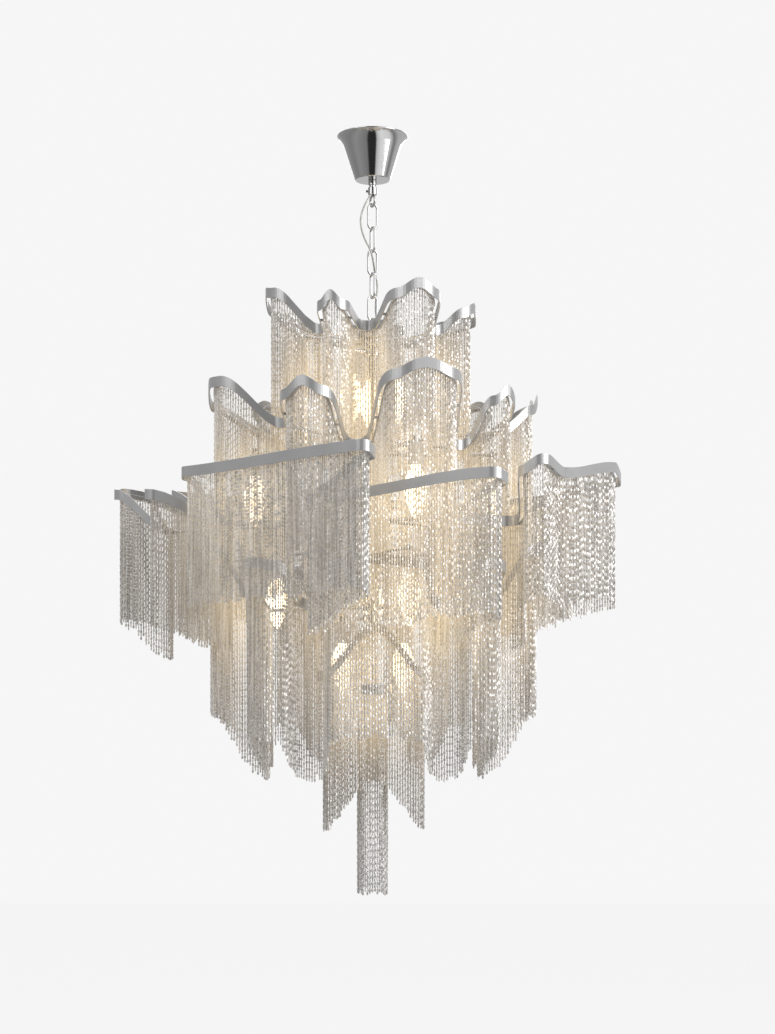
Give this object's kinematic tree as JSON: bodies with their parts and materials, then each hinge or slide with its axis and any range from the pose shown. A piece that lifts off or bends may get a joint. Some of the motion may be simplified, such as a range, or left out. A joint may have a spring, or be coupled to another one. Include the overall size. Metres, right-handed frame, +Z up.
{
  "type": "tiered chain chandelier",
  "caption": "Chandelier of wavy metal ribbons fringed with fine hanging chain, on a link chain with a woven cord from a bell-shaped ceiling canopy.",
  "frame": {"origin": "middle of the ceiling bracket's top face, on the ceiling and on the axis of the stem", "axes": "+Z up, +X to the right and +Y to the back as seen from the front"},
  "size_m": [0.7963, 0.7012, 1.1932],
  "materials": {
    "zinc_steel": "zinc-plated",
    "chrome": "polished",
    "terminal_plastic": "satin",
    "ribbon_steel": "satin mirror",
    "fine_chain": "bright, small links",
    "holder_plastic": "matte",
    "bulb_glass": "frosted warm",
    "cord_sleeve": "pale silver sleeve"
  },
  "bodies": {
    "ceiling_fixing": {"ceiling_bracket": "zinc_steel", "bracket_nuts": "zinc_steel", "stem_tube": "zinc_steel", "canopy_cup": "chrome", "canopy_nut": "chrome", "terminal_block": "terminal_plastic", "hanging_loop": "chrome", "cord_1": "cord_sleeve"},
    "collar_screw": {"collar_screw": "chrome"},
    "link_1": {"chain_link_1": "chrome", "cord_2": "cord_sleeve"},
    "link_2": {"chain_link_2": "chrome", "cord_3": "cord_sleeve"},
    "link_3": {"chain_link_3": "chrome", "cord_4": "cord_sleeve"},
    "link_4": {"chain_link_4": "chrome", "cord_5": "cord_sleeve"},
    "link_5": {"chain_link_5": "chrome", "cord_6": "cord_sleeve"},
    "hanging_body": {"body_eye": "chrome", "hub_plate": "chrome", "cord_gland": "chrome", "centre_column": "chrome", "bottom_finial": "chrome", "column_band": "ribbon_steel", "column_curtain": "fine_chain", "column_spider": "chrome", "rail_spacers": "ribbon_steel", "lamp_holders": "holder_plastic", "bulbs": "bulb_glass", "ribbon_tier_1": "ribbon_steel", "spider_tier_1": "chrome", "curtain_tier_1_a": "fine_chain", "curtain_tier_1_b": "fine_chain", "curtain_tier_1_c": "fine_chain", "curtain_tier_1_d": "fine_chain", "ribbon_tier_2": "ribbon_steel", "spider_tier_2": "chrome", "curtain_tier_2_a": "fine_chain", "curtain_tier_2_b": "fine_chain", "curtain_tier_2_c": "fine_chain", "curtain_tier_2_d": "fine_chain", "ribbon_tier_3": "ribbon_steel", "spider_tier_3": "chrome", "curtain_tier_3_a": "fine_chain", "curtain_tier_3_b": "fine_chain", "curtain_tier_3_c": "fine_chain", "curtain_tier_3_d": "fine_chain", "ribbon_tier_4": "ribbon_steel", "spider_tier_4": "chrome", "curtain_tier_4_a": "fine_chain", "curtain_tier_4_b": "fine_chain", "curtain_tier_4_c": "fine_chain", "curtain_tier_4_d": "fine_chain", "ribbon_tier_5": "ribbon_steel", "spider_tier_5": "chrome", "curtain_tier_5_a": "fine_chain", "curtain_tier_5_b": "fine_chain", "lamp_arms": "chrome"}
  },
  "joints": [
    {"name": "collar_screw_turn", "type": "hinge", "parent": "ceiling_fixing", "child": "collar_screw", "pos_m": [-0.0072, 0, -0.087], "axis": [-1, 0, 0], "range_deg": [0, 720]},
    {"name": "link_1_swing", "type": "hinge", "parent": "ceiling_fixing", "child": "link_1", "pos_m": [0, 0, -0.1107], "axis": [-0.4226, 0.9063, 0], "range_deg": [-18, 18], "deforming": ["cord_1"]},
    {"name": "link_2_swing", "type": "hinge", "parent": "link_1", "child": "link_2", "pos_m": [0, 0, -0.1465], "axis": [0.9063, 0.4226, 0], "range_deg": [-18, 18], "deforming": ["cord_2"]},
    {"name": "link_3_swing", "type": "hinge", "parent": "link_2", "child": "link_3", "pos_m": [0, 0, -0.1825], "axis": [-0.4226, 0.9063, 0], "range_deg": [-18, 18], "deforming": ["cord_3"]},
    {"name": "link_4_swing", "type": "hinge", "parent": "link_3", "child": "link_4", "pos_m": [0, 0, -0.2185], "axis": [0.9063, 0.4226, 0], "range_deg": [-18, 18], "deforming": ["cord_4"]},
    {"name": "link_5_swing", "type": "hinge", "parent": "link_4", "child": "link_5", "pos_m": [0, 0, -0.2545], "axis": [-0.4226, 0.9063, 0], "range_deg": [-18, 18], "deforming": ["cord_5"]},
    {"name": "hanging_body_swing", "type": "hinge", "parent": "link_5", "child": "hanging_body", "pos_m": [0, 0, -0.2905], "axis": [0.9063, 0.4226, 0], "range_deg": [-12, 12], "deforming": ["cord_6"]}
  ]
}
